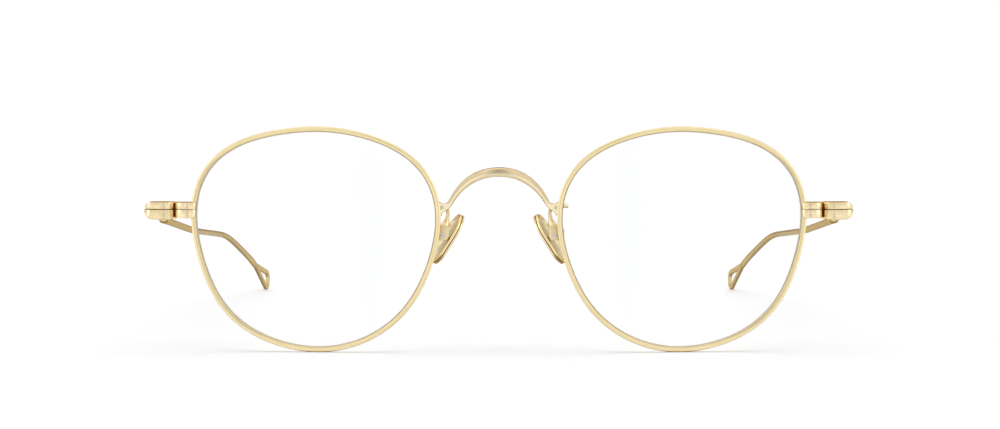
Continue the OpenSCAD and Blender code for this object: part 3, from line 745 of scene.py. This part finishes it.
# How far each arm's solder stub reaches past its rim.
stubs = {"right": 0.4, "left": 1.4}
for side, sign in SIDES.items():
    stub = arm_start + np.linspace(stubs[side], 0.1, 8)[:, None] * [1, 0, 0]
    bent = bezier(arm_start, arm_start + start_pull, arm_end + end_pull, arm_end,
                  np.linspace(0, 1, 61))
    sunk = arm_end - np.linspace(0.1, 0.5, 5)[:, None] * unit(end_pull)
    path = np.concatenate([stub, bent, sunk]) + [0, front_face, 0]
    # The wire is thicker at its stub, and flares where it sinks into its box.
    arm_reach = np.interp(np.arange(len(path)), [0, 6, 12, 52, 60, 68],
                          [0.42, 0.42, 0.35, 0.35, 0.5, 0.95])
    ahead = unit(np.gradient(path, axis=0))
    sideways = unit(np.cross(ahead, [0.2, 1, 0.3]))
    arm = drawn_wire("arm_wire_" + side, mirrored(path, sign), mirrored(sideways, sign),
                     mirrored(np.cross(ahead, sideways), sign), round_section[::2], arm_gold,
                     wide=arm_reach, deep=np.minimum(arm_reach, 0.42))
    stands_for(arm, "pad_arm_" + side)
    box = softened_copy("pad_box_" + side, "soft_box_" + side, box_gold, 0.24, shortest=0.6)
    stands_for(box, "pad_box_" + side)
    screw = softened_copy("pad_screw_" + side, "soft_pad_screw_" + side, screw_steel, 0.14)
    stands_for(screw, "pad_screw_" + side)

# ---- Nose pads ----
# Metal pads, pressed as a tray with a raised border. The plate that lies on
# the nose shows as a second edge with a fine groove between.

pad_gold = plated("pad_gold", (0.95, 0.82, 0.52), (0.84, 0.70, 0.42), 0.2,
                  edge=(0.78, 0.62, 0.34))
tray_steel = plated("tray_steel", (0.93, 0.91, 0.8), (0.8, 0.78, 0.66), 0.36,
                    edge=(0.7, 0.7, 0.6), crease_shade=(0.12, 0.09, 0.05))
pad_length = 11.0
pad_width = 6.4
pad_middle = np.array([9.97043, 6.10495 + front_face, 21.6871])
# Inset from the pad's outline, and height from its middle towards its back.
pad_steps = [(3.1, -0.525), (0.35, -0.525), (0.15, -0.51), (0.04, -0.46), (0, -0.38),
             (0, -0.25), (0, -0.17), (0.04, -0.13), (0.26, -0.11), (0.26, 0.03), (0.04, 0.05),
             (0, 0.09), (0, 0.36), (0.05, 0.46), (0.15, 0.515), (0.28, 0.525), (0.42, 0.515),
             (0.52, 0.46), (0.58, 0.36), (0.62, 0.14), (0.7, 0.05), (0.85, 0.02), (3.1, 0.02)]
# The faces after this step line the tray.
last_border_step = 18
# Turns about X, Z and Y, in degrees, that lay the pad along the side of the nose.
pad_turns = [(0, 8), (2, -14), (1, -30)]


def pad_outline(inset, height):
    """Ring round the pad, which is slimmer towards both ends than a plain stadium."""
    radius = pad_width / 2 - inset
    half = (pad_length - pad_width) / 2
    ring = []
    for middle_z, start in ((half, 0), (-half, math.pi)):
        for angle in np.linspace(start, start + math.pi, 33):
            slim = 1 - 0.2 * abs(math.sin(angle))
            ring.append((height, radius * slim * math.cos(angle),
                         middle_z + radius * math.sin(angle)))
    return ring


for side, sign in SIDES.items():
    rings = np.array([pad_outline(*step) for step in pad_steps])
    flat = rings.reshape(-1, 3)[:, [2, 1, 0]] * MM
    for axis, degrees in pad_turns:
        rings = turned(rings, axis, math.radians(degrees))
    pad = lofted("pad_shell_" + side, mirrored(rings + pad_middle, sign), 50)
    pad.data.materials.append(pad_gold)
    pad.data.materials.append(tray_steel)
    for face in pad.data.polygons:
        face.material_index = int(face.index // rings.shape[1] > last_border_step)
    marks = pad.data.attributes.new("grain", "FLOAT_VECTOR", "POINT")
    marks.data.foreach_set("vector", flat.astype(np.float32).ravel())
    stands_for(pad, "nose_pad_" + side)
    lug = softened_copy("pad_lug_" + side, "soft_lug_" + side, box_gold, 0.05)
    stands_for(lug, "pad_lug_" + side)

# ---- Floor, light and camera ----
# The open glasses stand on a plain white table under soft light from above
# and from both sides.


def ramp(tree, share, ease, *stops):
    """Colours along a share, each stop a place from 0 to 1 with its red, green and blue."""
    made = add_node(tree, "ShaderNodeValToRGB", {0: share})
    made.color_ramp.interpolation = ease
    elements = made.color_ramp.elements
    for place, *color in stops:
        # A new ramp already has a stop at either end.
        if place == 0:
            stop = elements[0]
        elif place == 1:
            stop = elements[-1]
        else:
            stop = elements.new(place)
        stop.color = (*color, 1)
    return made.outputs[0]


def seen_straight(tree, ray):
    """1 for what is seen straight or through a lens, and 0 for light and reflections."""
    return maths(tree, "MAXIMUM", ray["Is Camera Ray"], ray["Is Transmission Ray"])


room = bpy.data.worlds.new("room")
bpy.context.scene.world = room
room.use_nodes = True
tree = room.node_tree
tree.nodes.clear()
direction = tree.nodes.new("ShaderNodeTexCoord").outputs["Generated"]
parts = add_node(tree, "ShaderNodeSeparateXYZ", {0: direction}).outputs
drop = maths(tree, "MULTIPLY", parts[2], -1.0)
# What the metal reflects: white in front of the glasses, brown behind them and
# pale overhead.
round_about = ramp(tree, mapped(tree, parts[1], -1.0, 1.0), "EASE",
                   (0, 0.98, 0.98, 0.98), (0.04, 0.92, 0.92, 0.92), (0.12, 0.76, 0.76, 0.75),
                   (0.22, 0.94, 0.94, 0.94), (0.35, 1.05, 1.05, 1.05), (0.5, 0.9, 0.87, 0.8),
                   (0.65, 0.7, 0.62, 0.48), (0.85, 0.54, 0.42, 0.25), (1, 0.52, 0.38, 0.2))
round_about = mixed(tree, mapped(tree, parts[2], 0.3, 0.8), round_about, (0.95, 0.94, 0.92))
# From the horizon down to the table, which is browner right under the glasses and behind.
table = ramp(tree, drop, "LINEAR", (0, 1.01, 1.01, 1.01), (0.1, 1.01, 1.01, 1.01),
             (0.3, 0.9, 0.9, 0.9), (0.5, 1.0, 1.0, 1.0), (1, 0.96, 0.96, 0.96))
under = maths(tree, "MULTIPLY", mapped(tree, drop, 0.25, 0.7), mapped(tree, parts[1], -0.5, -0.2))
table = mixed(tree, under, table, (0.42, 0.32, 0.17))
around = mixed(tree, mapped(tree, drop, 0.0, 0.02), round_about, table)
# Dim in an upright strip straight in front, and a little brighter at both sides.
strip = maths(tree, "MULTIPLY", direction, (10.0, 0.0, 1.8), kind="ShaderNodeVectorMath")
strip = add_node(tree, "ShaderNodeVectorMath", {0: strip}, operation="LENGTH").outputs["Value"]
away = maths(tree, "ADD", strip, maths(tree, "MULTIPLY", parts[1], 5.0, use_clamp=True))
lit = add_node(tree, "ShaderNodeMapRange",
               {"Value": away, "From Min": 0.1, "From Max": 1.1, "To Min": 0.46, "To Max": 1.0},
               interpolation_type="SMOOTHSTEP").outputs[0]
sides = maths(tree, "MULTIPLY_ADD", maths(tree, "ABSOLUTE", parts[0]), 0.2, 1.0)
studio = maths(tree, "MULTIPLY", sides, lit)
# Seen straight the room is white, and it lights matt surfaces evenly.
ray = tree.nodes.new("ShaderNodeLightPath").outputs
seen = seen_straight(tree, ray)
level = add_node(tree, "ShaderNodeMix", {0: ray["Is Diffuse Ray"], 2: studio, 3: 0.28},
                 data_type="FLOAT").outputs[0]
level = add_node(tree, "ShaderNodeMix", {0: seen, 2: level, 3: 1.0}, data_type="FLOAT").outputs[0]
plain = maths(tree, "MAXIMUM", seen, ray["Is Diffuse Ray"])
sky = add_node(tree, "ShaderNodeBackground",
               {"Color": mixed(tree, plain, around, (1, 1, 1)), "Strength": level})
add_node(tree, "ShaderNodeOutputWorld", {"Surface": sky.outputs[0]})

floor_white = bpy.data.materials.new("floor_white")
floor_white.use_nodes = True
tree = floor_white.node_tree
tree.nodes.clear()
seen = seen_straight(tree, tree.nodes.new("ShaderNodeLightPath").outputs)
paint = add_node(tree, "ShaderNodeBsdfDiffuse", {"Color": (0.82, 0.82, 0.83, 1)})
# A faint glow lifts the table to the white of the room where it is seen.
glow = add_node(tree, "ShaderNodeEmission",
                {"Color": (1, 1, 1, 1), "Strength": maths(tree, "MULTIPLY", seen, 0.26)})
both = add_node(tree, "ShaderNodeAddShader", {0: paint.outputs[0], 1: glow.outputs[0]})
add_node(tree, "ShaderNodeOutputMaterial", {"Surface": both.outputs[0]})
mesh = bpy.data.meshes.new("floor")
reach = 40
mesh.from_pydata([(-reach, -reach, 0), (reach, -reach, 0), (reach, reach, 0), (-reach, reach, 0)],
                 [], [(0, 1, 2, 3)])
mesh.materials.append(floor_white)
floor = bpy.data.objects.new("floor", mesh)
# The room's own lower half stands in for the table in reflections.
floor.visible_glossy = False
bpy.context.scene.collection.objects.link(floor)

glasses_middle = Vector((0, -0.05, 0.025))


def panel(name, place, size, power):
    """Soft light panel that faces the glasses; size and place in metres."""
    lamp = bpy.data.lights.new(name, "AREA")
    lamp.shape = "RECTANGLE"
    lamp.size, lamp.size_y = size
    lamp.energy = power
    made = bpy.data.objects.new(name, lamp)
    made.location = place
    towards = glasses_middle - Vector(place)
    made.rotation_euler = towards.to_track_quat("-Z", "Y").to_euler()
    made.visible_diffuse = False
    bpy.context.scene.collection.objects.link(made)


panel("top_panel", (0, -0.15, 0.7), (0.6, 0.3), 0.5)
panel("right_panel", (-0.7, -0.25, 0.25), (0.3, 0.5), 0.5)
panel("left_panel", (0.7, -0.25, 0.25), (0.3, 0.5), 0.5)
sun = bpy.data.lights.new("overhead", "SUN")
sun.energy = 2.0
sun.angle = math.radians(70)
overhead = bpy.data.objects.new("overhead", sun)
# The broad light from above shows in no reflection.
overhead.visible_glossy = False
bpy.context.scene.collection.objects.link(overhead)

view = bpy.data.cameras.new("camera")
view.sensor_width = 36
view.lens = 130.9
view.shift_x = 0.00115
view.clip_start = 0.01
view.clip_end = 200
camera = bpy.data.objects.new("camera", view)
camera.location = (0, -0.773214, 0.071668)
camera.rotation_euler = (math.radians(90 - 3.6668), 0, 0)
bpy.context.scene.collection.objects.link(camera)
bpy.context.scene.camera = camera

bpy.context.scene.view_settings.view_transform = "Standard"
